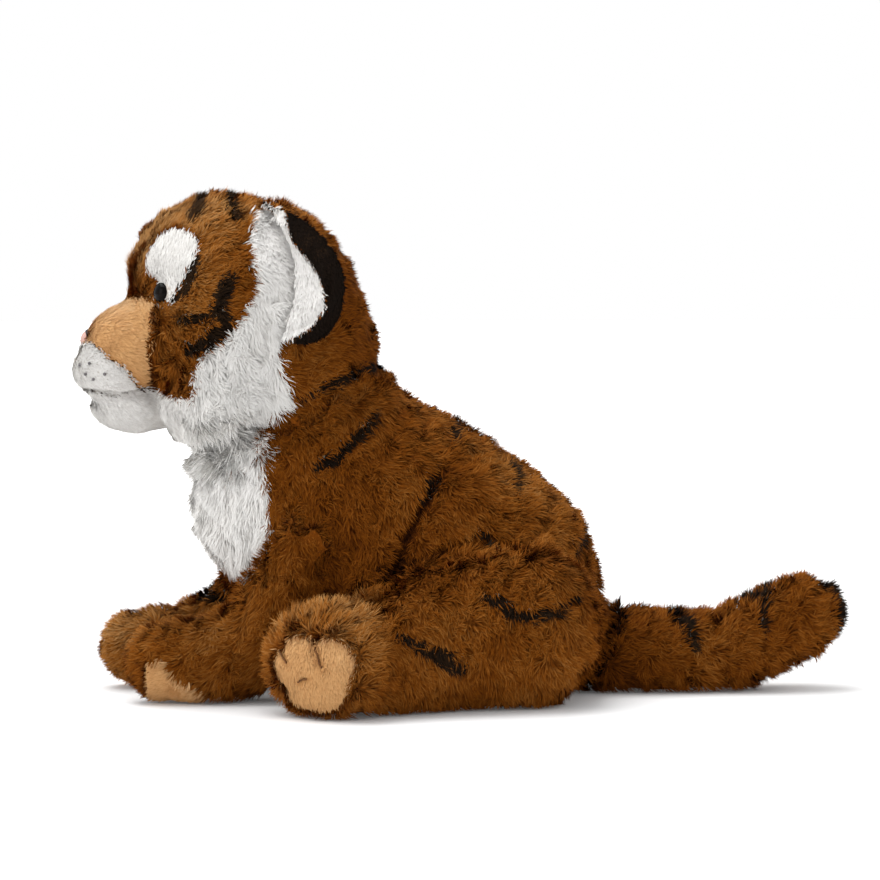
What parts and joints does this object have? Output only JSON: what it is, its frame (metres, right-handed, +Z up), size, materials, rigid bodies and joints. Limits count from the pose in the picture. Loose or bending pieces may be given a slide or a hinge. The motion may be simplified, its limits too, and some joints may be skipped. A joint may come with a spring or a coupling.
{
  "type": "plush tiger",
  "caption": "Sitting plush tiger with a turning head, hinged ears, legs and tail, sewn covers, loose filling, eyes on shanks and a flat base.",
  "frame": {"origin": "the middle of the bounding box's underside, on the surface that the tiger sits on", "axes": "+Z up, -X the way the tiger faces, -Y its left side, which the picture shows"},
  "size_m": [0.3492, 0.2072, 0.2264],
  "materials": {
    "brown_plush": "russet brown polyester fur with black stripes, pile about 9 mm",
    "white_plush": "off-white polyester fur, pile 5 to 14 mm",
    "tan_plush": "tan short-pile plush",
    "black_plush": "black polyester fur",
    "nose_cloth": "pink satin-stitched cloth with a black upper edge",
    "seam_thread": "dark brown sewing thread in a drawn seam",
    "eye_plastic": "moulded black acrylic, high gloss",
    "washer_plastic": "natural white moulded plastic",
    "filling": "loose white polyester fibre",
    "pellet_cloth": "plain woven inner bag of plastic pellets"
  },
  "bodies": {
    "torso": {"body_cover_left": "brown_plush", "body_cover_right": "brown_plush", "chest_panel": "white_plush", "belly_panel": "brown_plush", "body_stuffing": "filling", "pellet_bag": "pellet_cloth"},
    "neck": {"neck_seam_cord": "seam_thread"},
    "head": {"muzzle_top": "tan_plush", "upper_lip_left": "white_plush", "upper_lip_right": "white_plush", "chin": "white_plush", "cheek_ruff_left": "white_plush", "cheek_ruff_right": "white_plush", "brow_left": "white_plush", "brow_right": "white_plush", "face_left": "brown_plush", "face_right": "brown_plush", "nape_left": "brown_plush", "nape_right": "brown_plush", "head_stuffing": "filling", "eye_left": "eye_plastic", "eye_right": "eye_plastic", "eye_washer_left": "washer_plastic", "eye_washer_right": "washer_plastic", "nose": "nose_cloth"},
    "ear_left": {"ear_back_left": "black_plush", "ear_lining_left": "white_plush"},
    "ear_right": {"ear_back_right": "black_plush", "ear_lining_right": "white_plush"},
    "front_leg_left": {"front_paw_pad_left": "tan_plush", "front_leg_cover_left": "brown_plush", "front_leg_stuffing_left": "filling"},
    "front_leg_right": {"front_paw_pad_right": "tan_plush", "front_leg_cover_right": "brown_plush", "front_leg_stuffing_right": "filling"},
    "hind_leg_left": {"sole_pad_left": "tan_plush", "hind_leg_cover_left": "brown_plush", "hind_leg_stuffing_left": "filling"},
    "hind_leg_right": {"sole_pad_right": "tan_plush", "hind_leg_cover_right": "brown_plush", "hind_leg_stuffing_right": "filling"},
    "tail": {"tail_cover": "brown_plush", "tail_stuffing": "filling"}
  },
  "joints": [
    {"name": "head_turn", "type": "hinge", "parent": "torso", "child": "neck", "pos_m": [-0.08551, 0, 0.14441], "axis": [-0.4289, 0, 0.9033], "range_deg": [-15, 15], "stiffness_Nm_per_rad": 0.5},
    {"name": "head_nod", "type": "hinge", "parent": "neck", "child": "head", "pos_m": [-0.08551, 0, 0.14441], "axis": [0, 1, 0], "range_deg": [-8, 8], "stiffness_Nm_per_rad": 1.5},
    {"name": "ear_fold_left", "type": "hinge", "parent": "head", "child": "ear_left", "pos_m": [-0.07593, -0.04241, 0.19022], "axis": [-0.153, 0.4019, 0.9028], "range_deg": [-10, 10], "stiffness_Nm_per_rad": 0.02},
    {"name": "ear_fold_right", "type": "hinge", "parent": "head", "child": "ear_right", "pos_m": [-0.07593, 0.04241, 0.19022], "axis": [-0.153, -0.4019, 0.9028], "range_deg": [-10, 10], "stiffness_Nm_per_rad": 0.02},
    {"name": "front_leg_lift_left", "type": "hinge", "parent": "torso", "child": "front_leg_left", "pos_m": [-0.06052, -0.039, 0.081], "axis": [0, 1, 0], "range_deg": [0, 16], "stiffness_Nm_per_rad": 0.3},
    {"name": "front_leg_lift_right", "type": "hinge", "parent": "torso", "child": "front_leg_right", "pos_m": [-0.06052, 0.039, 0.081], "axis": [0, 1, 0], "range_deg": [0, 16], "stiffness_Nm_per_rad": 0.3},
    {"name": "hind_leg_lift_left", "type": "hinge", "parent": "torso", "child": "hind_leg_left", "pos_m": [0.03996, -0.047, 0.037], "axis": [0, 1, 0], "range_deg": [0, 8], "stiffness_Nm_per_rad": 0.4},
    {"name": "hind_leg_lift_right", "type": "hinge", "parent": "torso", "child": "hind_leg_right", "pos_m": [0.03996, 0.047, 0.037], "axis": [0, 1, 0], "range_deg": [0, 8], "stiffness_Nm_per_rad": 0.4},
    {"name": "tail_swing", "type": "hinge", "parent": "torso", "child": "tail", "pos_m": [0.05622, 0, 0.019], "axis": [0, 0, 1], "range_deg": [-15, 15], "stiffness_Nm_per_rad": 0.15}
  ]
}
